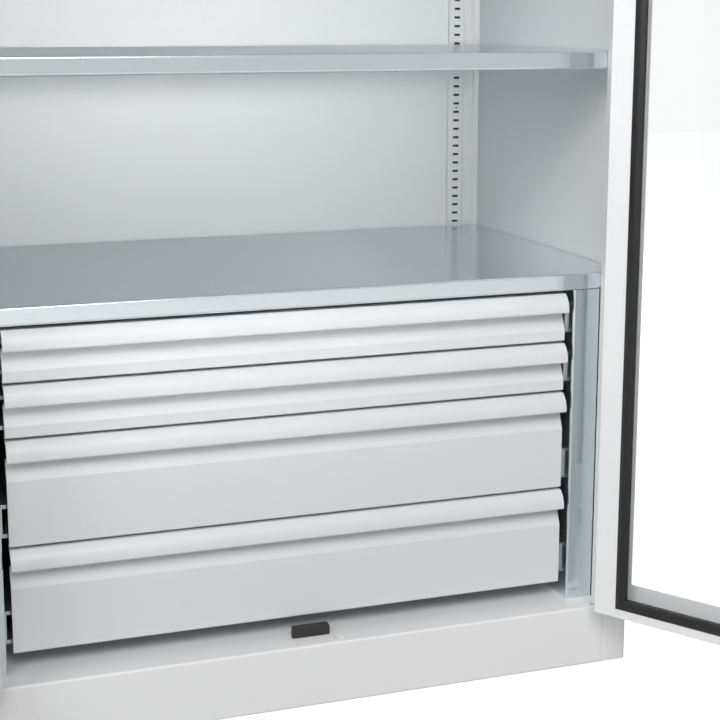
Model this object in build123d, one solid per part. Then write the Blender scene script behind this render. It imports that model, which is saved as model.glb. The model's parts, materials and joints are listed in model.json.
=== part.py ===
from build123d import *
import math
import os

os.makedirs("parts", exist_ok=True)

# Heavy-duty sheet-steel cabinet: two glazed doors standing open, four drawers below,
# a fixed shelf over them and three adjustable shelves above.
# Millimetres, +Z up. X runs across the front with 0 at mid-width, Y runs into the depth
# with 0 at the front plane, and Z is 0 on the floor.

# Whole cabinet
cabinet_width = 1000.0
cabinet_depth = 580.0
cabinet_height = 1950.0
plinth_height = 91.0
body_sheet = 1.5
bend = 2.5
seam = 0.3

# Folded side panels, roof and floor
post_width = 40.0
post_corner = 5.0
post_clearance = 2.0
jamb_depth = 40.0
jamb_leg = 25.0
rear_return = 12.0
header_height = 40.0
header_ledge = 38.0
plinth_flange = 25.0
floor_rear_flange = 40.0
brace_width = 60.0
brace_height = 25.0
brace_side_gap = 210.0
brace_inset = 60.0
support_leg = 24.0

# Levelling feet
foot_radius = 14.0
foot_thickness = 4.0
foot_stem_radius = 5.0
foot_stem_height = 36.0
foot_inset = 20.0
foot_plate_width = 40.0
foot_plate_thickness = 3.0
foot_plate_height = 12.0
running_fit = 0.05
cut_margin = 1.0

# Slotted uprights
strip_width = 30.0
strip_rise = 6.5
rear_strip_inset = 45.0
front_strip_y = 77.0
slot_pitch = 15.0
slot_width = 11.0
slot_height = 4.0
first_slot = 106.5
fixing_hole_radius = 1.6
fixing_hole_step = 20

# Shelves and their clips
shelf_sheet = 1.25
shelf_lip = 25.0
shelf_side_lip = 18.0
shelf_return = 14.0
shelf_gap = 1.5
shelf_rear_gap = 3.0
cover_shelf_top = 594.0
shelf_tops = [915.0, 1230.0, 1545.0]
clip_thickness = 2.0
clip_width = 16.0
clip_height = 32.0
clip_reach = 14.0
clip_hook = 3.5
clip_slack = 1.0

# Drawer unit
low_unit = 75.0
high_unit = 150.0
low_units = 2
high_units = 2
drawer_gap = 3.4
drawer_stack_top = 563.6
housing_inset = 42.0
front_side_gap = 10.0
tray_side_gap = 14.0
front_sheet = 1.5
front_face = 48.0
handle_height = 27.5
handle_rise = 13.0
handle_top_rise = 1.0
recess_depth = 12.0
recess_height = 28.5
housing_rear_gap = 1.0
tray_sheet = 1.2
tray_rear = 545.0
tray_bottom_gap = 6.0
tray_top_gap = 10.0
slide_height = 46.0
slide_length = 470.0
slide_sheet = 1.5
slide_bend = 1.5
slide_rise = 33.0
slide_lip = 11.2
slide_gap = 0.3

# Doors
door_thickness = 30.0
door_gap = 3.0
door_side_gap = 2.0
door_bend = 2.0
door_open_angle = 123.0
window_border = 44.0
lock_side_margin = 90.0
lock_window_border = 104.0
gasket_side_margin = 34.0
gasket_end_margin = 13.5
gasket_width = 17.5
gasket_ridge = 4.0
gasket_outer_rise = 1.0
gasket_inner_rise = 1.8
gasket_back = 3.0
gasket_ridge_at = 9.0
sheet_bite = 7.5
pane_bite = 7.0
pane_thickness = 3.0
pane_behind = 0.75
rebate_half = 16.0
rebate_sheet = 1.5

# Hinges
hinge_offset = 4.5
hinge_radius = 4.2
hinge_pin_radius = 2.5
hinge_head_radius = 3.6
hinge_head = 2.0
hinge_leaf = 2.0
hinge_leaf_width = 20.0
knuckle_body = 20.0
knuckle_door = 30.0
hinge_inset = 160.0

# Lock on the right door
lock_x = 46.0
lock_height = 1050.0
lock_throw = 20.0
rod_y = 17.0
rod_radius = 5.0
rod_end_gap = 1.0
rod_hole = (16.0, 12.0)
bush_wall = 4.0
bush_height = 12.0
cam_disc_radius = 19.0
cam_thickness = 4.0
cam_y = 6.0
stud_radius = 2.5
stud_height = 3.8
link_thickness = 3.0
link_width = 15.0
link_edge = 2.0
link_gap = 0.4
link_top = 7.0
link_foot = 45.0
link_foot_height = 15.0
stop_lug = (24.0, 5.0)
spindle_square = 7.0
spindle_radius = 5.0
hub_radius = 12.0
hub_depth = 12.0
lever_length = 88.0
lever_width = 18.0
plate_thickness = 3.0
plate_width = 36.0
plate_low = 34.0
plate_high = 62.0
key_rise = 38.0
key_radius = 7.0
key_face = 2.0
key_slot = (1.6, 8.0)
tongue_length = 17.0
tongue_width = 6.0
case_width = 52.0
case_flange = 8.0
case_depth = 24.5
case_sheet = 1.2
case_height = 66.0
guide_width = 24.0
guide_height = 14.0
guide_gap = 2.0
guide_middle = (520.0, 1480.0)

# Small parts on the ledge
stop_x = 8.0
stop_width = 56.0
stop_height = 18.0
stop_thickness = 6.0
stop_foot = 22.0
stop_foot_height = 3.0
stop_gap = 0.5
stop_corners = (6.0, 2.0)
pivot_inset = 14.0
pivot_y = 9.5
pivot_radius = 3.0

# Places that follow from the sizes above
half = cabinet_width / 2
opening_half = half - post_width
wall_face = half - body_sheet
back_face = cabinet_depth - body_sheet
roof_underside = cabinet_height - body_sheet
header_bottom = cabinet_height - header_height
door_bottom = plinth_height + door_gap
door_top = header_bottom - door_gap
door_hinge_edge = opening_half - door_side_gap
door_free_edge = door_side_gap
hinge_x = opening_half
lining_y = door_thickness - body_sheet
strip_low = plinth_height + seam
strip_high = roof_underside - seam
rear_strip_x = wall_face - rear_strip_inset
rear_strip_face = back_face - strip_rise
front_strip_face = wall_face - strip_rise
front_line = jamb_depth + seam
shelf_rear = back_face - shelf_rear_gap
cover_underside = cover_shelf_top - shelf_lip
housing_half = opening_half - housing_inset
front_half = housing_half - front_side_gap
tray_half = housing_half - tray_side_gap
slide_front = front_face + recess_depth + front_sheet + seam
tray_front = front_face + recess_depth + front_sheet
cam_radius = lock_throw / math.sqrt(2)
link_y = cam_y + cam_thickness + link_gap


def box(x, y, z):
    """A box between the low and high value on each axis."""
    size = [high - low for low, high in (x, y, z)]
    centre = [(high + low) / 2 for low, high in (x, y, z)]
    return Pos(*centre) * Box(*size)


def carry(face, axis, span):
    """A face drawn in the plane square to an axis, carried along that axis over a span."""
    low, high = span
    planes = {"x": Plane.YZ.offset(low), "y": Plane.XZ.offset(-high), "z": Plane.XY.offset(low)}
    return extrude(planes[axis] * face, high - low)


def folded(points, thickness, radii, axis, span):
    """A bent sheet: a mid-line with rounded corners, thickened and carried along an axis."""
    return carry(trace(FilletPolyline(*points, radius=radii), thickness), axis, span)


def rod(centre, radius, axis, span):
    """A round bar along an axis, its centre given in the plane square to it."""
    return carry(Pos(*centre) * Circle(radius), axis, span)


def mirrored(item):
    """The same piece on the other side of the cabinet."""
    return mirror(item, about=Plane.YZ)


def both(item):
    """A piece and its mirror image."""
    return [item, mirrored(item)]


def save(name, items):
    """One file for each node, holding its solids."""
    items = items if isinstance(items, list) else [items]
    solids = [solid for item in items for solid in item.solids()]
    export_step(solids[0] if len(solids) == 1 else Compound(children=solids), f"parts/{name}.step")


# Body
def side_panel():
    """Outer wall, front post, jamb and rear return, folded from one sheet."""
    m = body_sheet / 2
    points = [
        (opening_half + jamb_leg, jamb_depth - m),
        (opening_half + m, jamb_depth - m),
        (opening_half + m, m),
        (half - m, m),
        (half - m, back_face - m),
        (half - rear_return, back_face - m),
    ]
    radii = [bend, bend, post_corner, bend]
    return folded(points, body_sheet, radii, "z", (post_clearance, roof_underside))


def back_panel():
    edge = half - body_sheet / 2
    return box((-edge, edge), (back_face, cabinet_depth), (post_clearance, roof_underside))


def rod_slot(z):
    """The hole that a lock rod enters, as a cutter about a level z."""
    face = Pos(lock_x, rod_y) * SlotOverall(rod_hole[0], rod_hole[1])
    return carry(face, "z", (z - 2 * body_sheet, z + 2 * body_sheet))


def roof_panel():
    """Roof sheet on the side panels, with a header folded down between the posts."""
    m = body_sheet / 2
    sheet = Rectangle(cabinet_width, cabinet_depth)
    front = sheet.vertices().sort_by(Axis.Y)[:2]
    sheet = Pos(0, cabinet_depth / 2) * fillet(front, post_corner + m)
    roof = carry(sheet, "z", (roof_underside, cabinet_height))
    points = [(m, cabinet_height - m), (m, header_bottom + m), (header_ledge, header_bottom + m)]
    width = opening_half - seam
    roof += folded(points, body_sheet, bend, "x", (-width, width))
    return roof - rod_slot(header_bottom)


def floor_pan():
    """Floor sheet with the ledge, the plinth apron and a rear flange."""
    m = body_sheet / 2
    rear = back_face - body_sheet - bend
    points = [
        (plinth_flange, m),
        (m, m),
        (m, plinth_height - m),
        (rear - m, plinth_height - m),
        (rear - m, plinth_height - floor_rear_flange),
    ]
    edge = wall_face - seam
    pan = folded(points, body_sheet, bend, "x", (-edge, edge))
    notch = box((opening_half - seam, half), (-m, jamb_depth + seam), (-m, plinth_height + m))
    pivot = (opening_half - pivot_inset, pivot_y)
    hole = rod(pivot, pivot_radius, "z", (plinth_height - bend, plinth_height + m))
    return pan - both(notch) - both(hole) - rod_slot(plinth_height)


def floor_braces():
    """Angles on the side walls and hat rails that carry the floor sheet."""
    under = plinth_height - body_sheet
    m = body_sheet / 2
    span = (brace_inset, cabinet_depth - brace_inset)
    angle = box((wall_face - body_sheet, wall_face), span, (under - support_leg, under))
    angle += box((wall_face - support_leg, wall_face), span, (under - body_sheet, under))
    brace_x = opening_half - brace_side_gap
    low, high = brace_x - brace_width / 2, brace_x + brace_width / 2
    foot = brace_width / 4
    points = [
        (low - foot, under - m),
        (low + m, under - m),
        (low + m, under - brace_height + m),
        (high - m, under - brace_height + m),
        (high - m, under - m),
        (high + foot, under - m),
    ]
    hat = folded(points, body_sheet, bend, "y", span)
    return both(angle) + both(hat)


def foot_places():
    """Plate outlines (x span, y span) and foot centres at the front and rear right corners."""
    x = (opening_half + body_sheet + seam, wall_face - seam)
    front = (body_sheet + seam, jamb_depth - body_sheet - seam)
    rear_edge = back_face - body_sheet - seam
    rear = (rear_edge - foot_plate_width, rear_edge)
    foot_x = half - foot_inset
    return [(x, front, (foot_x, foot_inset)), (x, rear, (foot_x, rear_edge - foot_inset))]


def foot_plates():
    plates = []
    top = foot_plate_height + foot_plate_thickness
    for x, y, centre in foot_places():
        plate = box(x, y, (foot_plate_height, top))
        plate = fillet(plate.edges().filter_by(Axis.Z), post_corner)
        bore = rod(centre, foot_stem_radius + running_fit, "z", (0, top + cut_margin))
        plates += both(plate - bore)
    return plates


def levelling_feet():
    feet = []
    for _, _, centre in foot_places():
        foot = rod(centre, foot_radius, "z", (0, foot_thickness))
        foot += rod(centre, foot_stem_radius, "z", (0, foot_thickness + foot_stem_height))
        feet += both(foot)
    return feet


# Slotted uprights
def slot_levels():
    count = int((strip_high - slot_pitch - first_slot) / slot_pitch) + 1
    return [first_slot + slot_pitch * i for i in range(count)]


def rear_upright():
    m = body_sheet / 2
    low, high = rear_strip_x - strip_width / 2 + m, rear_strip_x + strip_width / 2 - m
    face = rear_strip_face + m
    points = [(low, back_face), (low, face), (high, face), (high, back_face)]
    strip = folded(points, body_sheet, bend, "z", (strip_low, strip_high))
    span = (rear_strip_face - m, rear_strip_face + strip_rise / 2)
    x = (rear_strip_x - slot_width / 2, rear_strip_x + slot_width / 2)
    levels = slot_levels()
    cuts = [box(x, span, (z - slot_height / 2, z + slot_height / 2)) for z in levels]
    for z in levels[fixing_hole_step // 3 :: fixing_hole_step]:
        cuts.append(rod((rear_strip_x, z + slot_pitch / 2), fixing_hole_radius, "y", span))
    return strip - cuts


def front_upright():
    m = body_sheet / 2
    low, high = front_strip_y - strip_width / 2 + m, front_strip_y + strip_width / 2 - m
    face = front_strip_face + m
    points = [(wall_face, low), (face, low), (face, high), (wall_face, high)]
    strip = folded(points, body_sheet, bend, "z", (strip_low, strip_high))
    span = (front_strip_face - m, front_strip_face + strip_rise / 2)
    y = (front_strip_y - slot_width / 2, front_strip_y + slot_width / 2)
    levels = slot_levels()
    return strip - [box(span, y, (z - slot_height / 2, z + slot_height / 2)) for z in levels]


# Shelves
def shelf(top):
    """A folded tray, open below, notched round the four uprights."""
    m = shelf_sheet / 2
    low = top - shelf_lip
    points = [
        (front_line + shelf_return, low + m),
        (front_line + m, low + m),
        (front_line + m, top - m),
        (shelf_rear - m, top - m),
        (shelf_rear - m, low + m),
        (shelf_rear - shelf_return, low + m),
    ]
    edge = wall_face - shelf_gap
    tray = folded(points, shelf_sheet, bend, "x", (-edge, edge))
    lip = box(
        (edge - shelf_sheet, edge),
        (front_line + 2 * bend, shelf_rear - 2 * bend),
        (top - shelf_side_lip, top - m),
    )
    tray += both(lip)
    depth = clip_thickness + clip_slack
    level = (low - cut_margin, top + cut_margin)
    side = strip_width / 2 + 2 * clip_slack
    front_notch = box(
        (front_strip_face - depth, half), (front_strip_y - side, front_strip_y + side), level
    )
    rear_notch = box(
        (rear_strip_x - side, rear_strip_x + side), (rear_strip_face - depth, back_face), level
    )
    return tray - both(front_notch) - both(rear_notch)


def clip_hooks(top):
    """The slot levels that a clip under a shelf hooks into."""
    under = top - shelf_sheet
    return [z for z in slot_levels() if under - clip_height < z - slot_height < z < under - slot_height]


def shelf_clips():
    """An angle at each upright: a plate hooked into two slots and a tab under the shelf."""
    clips = []
    half_width = clip_width / 2
    hook = (slot_width - 2 * clip_slack) / 2
    rise = slot_height / 2 - clip_slack / 2
    for top in shelf_tops:
        under = top - shelf_sheet
        plate, tab = (under - clip_height, under), (under - clip_thickness, under)
        y = (front_strip_y - half_width, front_strip_y + half_width)
        front = box((front_strip_face - clip_thickness, front_strip_face), y, plate)
        front += box((front_strip_face - clip_reach, front_strip_face), y, tab)
        x = (rear_strip_x - half_width, rear_strip_x + half_width)
        rear = box(x, (rear_strip_face - clip_thickness, rear_strip_face), plate)
        rear += box(x, (rear_strip_face - clip_reach, rear_strip_face), tab)
        for z in clip_hooks(top):
            level = (z - rise, z + rise)
            y = (front_strip_y - hook, front_strip_y + hook)
            x = (rear_strip_x - hook, rear_strip_x + hook)
            front += box((front_strip_face - clip_thickness, front_strip_face + clip_hook), y, level)
            rear += box(x, (rear_strip_face - clip_thickness, rear_strip_face + clip_hook), level)
        clips += both(front) + both(rear)
    return clips


# Drawer unit
def drawer_levels():
    """The low and high z of each drawer front, from the top drawer down."""
    levels, top = [], drawer_stack_top
    for unit in [low_unit] * low_units + [high_unit] * high_units:
        levels.append((top - unit + drawer_gap, top))
        top -= unit
    return levels


def drawer_housing():
    """Side frame of the drawer unit, with the galvanised post as its front flange."""
    m = body_sheet / 2
    rear = rear_strip_face - housing_rear_gap
    outer = opening_half - seam
    points = [
        (outer, front_line + m),
        (housing_half + m, front_line + m),
        (housing_half + m, rear - m),
        (outer, rear - m),
    ]
    frame = folded(points, body_sheet, bend, "z", (plinth_height, cover_underside))
    foot = box(
        (housing_half + m, outer),
        (brace_inset, cabinet_depth - brace_inset),
        (plinth_height, plinth_height + body_sheet),
    )
    return frame + foot


def slide_channel(back, mouth, height, z):
    """One member of a telescopic slide: a channel whose web is at back and whose lips end at mouth."""
    m = slide_sheet / 2
    web = back + m if mouth > back else back - m
    low, high = z - height / 2 + m, z + height / 2 - m
    points = [(mouth, high), (web, high), (web, low), (mouth, low)]
    return folded(points, slide_sheet, slide_bend, "y", (slide_front, slide_front + slide_length))


def slide_sizes():
    """Web place, lip end and height of the fixed, middle and inner members."""
    step = slide_sheet + slide_gap
    middle_web = housing_half - step
    fixed = (housing_half, housing_half - slide_lip, slide_height)
    inner_mouth = middle_web - slide_sheet - slide_gap
    middle = (middle_web, tray_half + step, slide_height - 2 * step)
    inner = (tray_half, inner_mouth, slide_height - 4 * step)
    return fixed, middle, inner


def drawer_front(low, high):
    """Folded front: flat face, sloping recess, finger grip and rounded handle roll."""
    m = front_sheet / 2
    back = front_face + recess_depth + m
    nose = front_face - handle_rise + m
    roll_low, roll_high = high - handle_height + m, high - m
    roll_top = front_face - handle_top_rise + m
    reach, rise = roll_top - nose, roll_high - roll_low
    turn = 2 * math.atan2(reach, rise)
    tangent = reach / math.sin(turn)
    corner = roll_high - tangent * math.cos(turn)
    points = [
        (back, low + m),
        (front_face + m, low + m),
        (front_face + m, high - handle_height - recess_height),
        (back, roll_low),
        (nose, roll_low),
        (nose, corner),
        (roll_top, roll_high),
        (back, roll_high),
    ]
    small = front_sheet
    roll = (tangent - 2 * small) / math.tan(turn / 2)
    radii = [small, 2 * small, small, small, roll, small]
    return folded(points, front_sheet, radii, "x", (-front_half, front_half))


def drawer_tray(low, high):
    z = (low + tray_bottom_gap, high - tray_top_gap)
    y = (tray_front, tray_rear)
    outer = box((-tray_half, tray_half), y, z)
    inner_half = tray_half - tray_sheet
    depth = (y[0] + tray_sheet, y[1] - tray_sheet)
    return outer - box((-inner_half, inner_half), depth, (z[0] + tray_sheet, z[1] + cut_margin))


# Doors, drawn closed on the right side
def swing(items, side):
    """Turn closed door pieces about their hinge to the open rest pose."""
    items = items if isinstance(items, list) else [items]
    turn = Pos(side * hinge_x, -hinge_offset) * Rot(0, 0, side * door_open_angle)
    return [turn * (Pos(-side * hinge_x, hinge_offset) * item) for item in items]


def door_rect(free, hinged, ends):
    """Centre and size of a rectangle on the door, given its margins from the leaf's edges."""
    x = (door_free_edge + free, door_hinge_edge - hinged)
    z = (door_bottom + ends, door_top - ends)
    return Pos((x[0] + x[1]) / 2, (z[0] + z[1]) / 2) * Rectangle(x[1] - x[0], z[1] - z[0])


def door_slab(free, hinged, ends, span):
    return carry(door_rect(free, hinged, ends), "y", span)


def frustum(near, far):
    """A ruled block between two rectangles, each given by its margins and its y."""
    faces = []
    for free, hinged, ends, y in (near, far):
        faces.append(Plane.XZ.offset(-y) * door_rect(free, hinged, ends))
    return loft(faces, ruled=True)


def door_skin(locked):
    """Outer sheet with folded edges and a window opening."""
    shell = door_slab(0, 0, 0, (0, lining_y))
    shell = fillet(shell.edges().group_by(Axis.Y)[0], door_bend + body_sheet / 2)
    hollow = door_slab(body_sheet, body_sheet, body_sheet, (body_sheet, lining_y + cut_margin))
    hollow = fillet(hollow.edges().group_by(Axis.Y)[0], door_bend - body_sheet / 2)
    through = (-cut_margin, body_sheet + cut_margin)
    window = door_slab(lock_window_border, window_border, window_border, through)
    window = fillet(window.edges().filter_by(Axis.Y), door_bend)
    skin = shell - hollow - window
    if locked:
        level = (lock_x, lock_height)
        skin -= rod(level, spindle_radius + 2 * running_fit, "y", through)
        key = (lock_x, lock_height + key_rise)
        skin -= rod(key, key_radius + running_fit, "y", through)
        hole = rod_radius + clip_slack
        for z in (door_bottom, door_top - body_sheet):
            skin -= rod((lock_x, rod_y), hole, "z", (z - cut_margin, z + body_sheet + cut_margin))
    return skin


def gasket_margins(inset):
    """Free, hinge and end margins of a rectangle set into the gasket from its outer edge."""
    return lock_side_margin + inset, gasket_side_margin + inset, gasket_end_margin + inset


def door_lining():
    """Flat inner sheet that closes the leaf, with the opening that the gasket grips."""
    sheet = door_slab(0, 0, 0, (lining_y, door_thickness))
    through = (lining_y - cut_margin, door_thickness + cut_margin)
    return sheet - door_slab(*gasket_margins(sheet_bite), through)


def pane_span():
    middle = door_thickness - pane_behind
    return middle - pane_thickness / 2, middle + pane_thickness / 2


def door_pane():
    inset = gasket_width - pane_bite
    return door_slab(*gasket_margins(inset), pane_span())


def door_gasket():
    """Rubber glazing profile: grooves for the sheet and the pane, and a ridge on the inside."""
    back = lining_y - gasket_back
    outer_y = door_thickness + gasket_outer_rise
    ridge_y = door_thickness + gasket_ridge
    inner_y = door_thickness + gasket_inner_rise
    ring = door_slab(*gasket_margins(0), (back, outer_y))
    ring += frustum((*gasket_margins(0), outer_y), (*gasket_margins(gasket_ridge_at), ridge_y))
    ring -= door_slab(*gasket_margins(gasket_width), (back - cut_margin, ridge_y + cut_margin))
    near = (*gasket_margins(gasket_width), inner_y)
    ring -= frustum(near, (*gasket_margins(gasket_ridge_at), ridge_y))
    sheet = door_slab(*gasket_margins(-cut_margin), (lining_y, door_thickness))
    ring -= sheet - door_slab(*gasket_margins(sheet_bite), (lining_y, door_thickness))
    return ring - door_slab(*gasket_margins(gasket_width - pane_bite), pane_span())


def rebate_strip():
    """Strip on the left leaf that lies behind the right leaf's free edge when both are shut."""
    z = (door_bottom + rebate_half, door_top - rebate_half)
    y = (door_thickness, door_thickness + rebate_sheet)
    strip = box((-rebate_half, rebate_half), y, z)
    level = (z[0] - cut_margin, z[1] + cut_margin)
    return strip - box((0, rebate_half + cut_margin), (y[0] - cut_margin, y[0] + seam), level)


# Hinges, drawn on the right side
def hinge_levels():
    return [door_bottom + hinge_inset, (door_bottom + door_top) / 2, door_top - hinge_inset]


def hinge_bore(z):
    tall = knuckle_door / 2 + knuckle_body + cut_margin
    return rod((hinge_x, -hinge_offset), hinge_pin_radius + running_fit, "z", (z - tall, z + tall))


def body_leaf(z):
    """Two knuckles on a leaf that lies on the post."""
    centre = (hinge_x, -hinge_offset)
    reach = knuckle_door / 2 + seam
    tall = reach + knuckle_body
    leaf = box((hinge_x, hinge_x + hinge_leaf_width), (-hinge_leaf, 0), (z - tall, z + tall))
    leaf -= rod(centre, hinge_radius + 2 * seam, "z", (z - reach, z + reach))
    leaf += rod(centre, hinge_radius, "z", (z - tall, z - reach))
    leaf += rod(centre, hinge_radius, "z", (z + reach, z + tall))
    return leaf - hinge_bore(z)


def door_leaf(z):
    """One knuckle on a leaf that lies on the door."""
    tall = knuckle_door / 2
    leaf = box((hinge_x - hinge_leaf_width, hinge_x), (-hinge_leaf, 0), (z - tall, z + tall))
    leaf -= box((door_hinge_edge - door_bend, hinge_x), (-hinge_leaf / 4, 0), (z - tall, z + tall))
    leaf += rod((hinge_x, -hinge_offset), hinge_radius, "z", (z - tall, z + tall))
    return leaf - hinge_bore(z)


def hinge_pin(z):
    centre = (hinge_x, -hinge_offset)
    tall = knuckle_door / 2 + seam + knuckle_body
    pin = rod(centre, hinge_pin_radius, "z", (z - tall, z + tall + hinge_head))
    return pin + rod(centre, hinge_head_radius, "z", (z + tall, z + tall + hinge_head))


# Lock, drawn on the closed right door
def lock_plate():
    z = (lock_height - plate_low, lock_height + plate_high)
    plate = box((lock_x - plate_width / 2, lock_x + plate_width / 2), (-plate_thickness, 0), z)
    plate = fillet(plate.edges().filter_by(Axis.Y), plate_width / 4)
    through = (-plate_thickness - cut_margin, cut_margin)
    plate -= rod((lock_x, lock_height), spindle_radius + running_fit, "y", through)
    key = (lock_x, lock_height + key_rise)
    return plate - rod(key, key_radius + running_fit, "y", through)


def lock_handle():
    """Hub, lever and spindle. The lever points to the hinge side while the rods are drawn in."""
    centre = (lock_x, lock_height)
    front = -plate_thickness - seam
    handle = rod(centre, hub_radius, "y", (front - hub_depth, front))
    lever = SlotCenterToCenter(lever_length - lever_width / 2, lever_width)
    lever = Pos(lock_x + (lever_length - lever_width / 2) / 2, lock_height) * lever
    handle += carry(lever, "y", (front - hub_depth, front - hub_depth / 4))
    handle = fillet(handle.edges().group_by(Axis.Y)[0], 2 * seam)
    handle += rod(centre, spindle_radius, "y", (front, cam_y - seam))
    square = Pos(*centre) * Rectangle(spindle_square, spindle_square)
    return handle + carry(square, "y", (front, cam_y + cam_thickness))


def lock_cam():
    """Disc with two studs that drive the rods and a lug that the key's tongue blocks."""
    centre = Pos(lock_x, lock_height)
    disc = Circle(cam_disc_radius)
    reach, width = stop_lug
    lug = Rot(0, 0, 135) * Pos(reach / 2, 0) * Rectangle(reach, width)
    face = disc + lug - Rectangle(spindle_square + 2 * running_fit, spindle_square + 2 * running_fit)
    cam = carry(centre * face, "y", (cam_y, cam_y + cam_thickness))
    offset = lock_throw / 2
    for sign in (1, -1):
        stud = (lock_x + sign * offset, lock_height + sign * offset)
        cam += rod(stud, stud_radius, "y", (cam_y, cam_y + cam_thickness + stud_height))
    return cam


def lock_rod(sign):
    """Rod with a slotted link: sign 1 is the lower rod, -1 the upper one, both drawn in."""
    offset = lock_throw / 2
    y = (link_y, link_y + link_thickness)
    slot_high = stud_radius + link_gap + running_fit * 4
    slot_x = (lock_x + sign * (offset - slot_high), lock_x + sign * (cam_radius + slot_high))
    strip_x = (slot_x[0] - sign * link_edge, slot_x[0] + sign * (link_width - link_edge))
    top = lock_height + sign * (offset + link_top)
    shoulder = lock_height - sign * link_foot
    foot = shoulder - sign * link_foot_height
    link = box(sorted(strip_x), y, sorted((foot, top)))
    link += box(sorted((lock_x - sign * rod_radius, strip_x[1])), y, sorted((foot, shoulder)))
    level = lock_height + sign * offset
    through = (y[0] - cut_margin, y[1] + cut_margin)
    link -= box(sorted(slot_x), through, (level - slot_high, level + slot_high))
    end = door_bottom + rod_end_gap if sign > 0 else door_top - rod_end_gap
    return link + rod((lock_x, rod_y), rod_radius, "z", sorted((end, shoulder)))


def key_plug():
    """Key plug with a slot in its face and a tongue behind, turned away from the cam."""
    centre = (lock_x, lock_height + key_rise)
    front = -plate_thickness - key_face
    plug = rod(centre, key_radius, "y", (front, cam_y - body_sheet))
    slot = Pos(*centre) * Rectangle(*key_slot)
    plug -= carry(slot, "y", (front, front + 2 * key_face))
    tongue = Pos(centre[0] + tongue_length / 2, centre[1]) * Rectangle(tongue_length, tongue_width)
    return plug + carry(tongue, "y", (cam_y - body_sheet, cam_y + cam_thickness / 2))


def lock_case():
    """Hat-shaped cover over the cam, fixed to the inside of the skin."""
    m = case_sheet / 2
    low, high = lock_x - case_width / 2, lock_x + case_width / 2
    top = body_sheet + case_depth - m
    points = [
        (low - case_flange, body_sheet + m),
        (low + m, body_sheet + m),
        (low + m, top),
        (high - m, top),
        (high - m, body_sheet + m),
        (high + case_flange, body_sheet + m),
    ]
    return folded(points, case_sheet, case_sheet, "z", (lock_height - case_height, lock_height + case_height))


def rod_guides():
    """Bored blocks between the skin and the lining that steer the rods."""
    low = door_bottom + body_sheet + guide_gap
    high = door_top - body_sheet - guide_gap - guide_height
    guides = []
    for z in (low, guide_middle[0], guide_middle[1], high):
        x = (lock_x - guide_width / 2, lock_x + guide_width / 2)
        block = box(x, (body_sheet, lining_y), (z, z + guide_height))
        through = (z - cut_margin, z + guide_height + cut_margin)
        bore = rod((lock_x, rod_y), rod_radius + running_fit, "z", through)
        guides.append(block - bore)
    return guides


def rod_bushes():
    """Pale bushes under the ledge and over the header that line the holes for the lock rods."""
    low, high = plinth_height - body_sheet, header_bottom + body_sheet
    bushes = []
    for span in ((low - bush_height, low), (high, high + bush_height)):
        face = SlotOverall(rod_hole[0] + 2 * bush_wall, rod_hole[1] + 2 * bush_wall)
        face -= SlotOverall(rod_hole[0], rod_hole[1])
        bushes.append(carry(Pos(lock_x, rod_y) * face, "z", span))
    return bushes


def door_stop():
    """Angled plastic stop on the ledge behind the meeting edges of the doors."""
    face = door_thickness + stop_gap
    plate = box(
        (stop_x - stop_width / 2, stop_x + stop_width / 2),
        (face, face + stop_thickness),
        (plinth_height, plinth_height + stop_height),
    )
    upright = plate.edges().filter_by(Axis.Y)
    plate = fillet(upright.sort_by(Axis.X)[-2:].sort_by(Axis.Z)[-1:], stop_corners[0])
    upright = plate.edges().filter_by(Axis.Y)
    plate = fillet(upright.sort_by(Axis.X)[:2].sort_by(Axis.Z)[:1], stop_corners[1])
    foot_half = stop_width / 2 - 2 * stop_corners[1]
    level = (plinth_height, plinth_height + stop_foot_height)
    return plate + box((stop_x - foot_half, stop_x + foot_half), (face, face + stop_foot), level)


# Body nodes
panel = side_panel()
save("side_panel_right", panel)
save("side_panel_left", mirrored(panel))
save("back_panel", back_panel())
save("roof_panel", roof_panel())
save("floor_pan", floor_pan())
save("floor_braces", floor_braces())
save("foot_plates", foot_plates())
save("levelling_feet", levelling_feet())
strip = rear_upright()
save("rear_upright_right", strip)
save("rear_upright_left", mirrored(strip))
strip = front_upright()
save("front_upright_right", strip)
save("front_upright_left", mirrored(strip))
save("cover_shelf", shelf(cover_shelf_top))
for name, top in zip(("shelf_lower", "shelf_middle", "shelf_upper"), shelf_tops):
    save(name, shelf(top))
save("shelf_clips", shelf_clips())
save("door_stop", door_stop())
save("rod_bushes", rod_bushes())

# Drawer nodes, numbered from the top
housing = drawer_housing()
save("drawer_housing_right", housing)
save("drawer_housing_left", mirrored(housing))
fixed, middle, inner = slide_sizes()
fixed_members = []
for number, (low, high) in enumerate(drawer_levels(), start=1):
    z = low + slide_rise
    fixed_members += both(slide_channel(*fixed, z))
    save(f"slide_middle_{number}", both(slide_channel(*middle, z)))
    save(f"slide_inner_{number}", both(slide_channel(*inner, z)))
    save(f"drawer_tray_{number}", drawer_tray(low, high))
    save(f"drawer_front_{number}", drawer_front(low, high))
save("slide_fixed", fixed_members)

# Door nodes
save("door_skin_right", swing(door_skin(True), 1))
save("door_skin_left", swing(mirrored(door_skin(False)), -1))
for name, item in (("lining", door_lining()), ("pane", door_pane()), ("gasket", door_gasket())):
    save(f"door_{name}_right", swing(item, 1))
    save(f"door_{name}_left", swing(mirrored(item), -1))
save("rebate_strip", swing(rebate_strip(), -1))
door_leaves = [door_leaf(z) for z in hinge_levels()]
save("hinge_leaves_right", swing(door_leaves, 1))
save("hinge_leaves_left", swing([mirrored(leaf) for leaf in door_leaves], -1))
save("hinge_leaves_body", [half_leaf for z in hinge_levels() for half_leaf in both(body_leaf(z))])
save("hinge_pins", [pin for z in hinge_levels() for pin in both(hinge_pin(z))])

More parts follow.
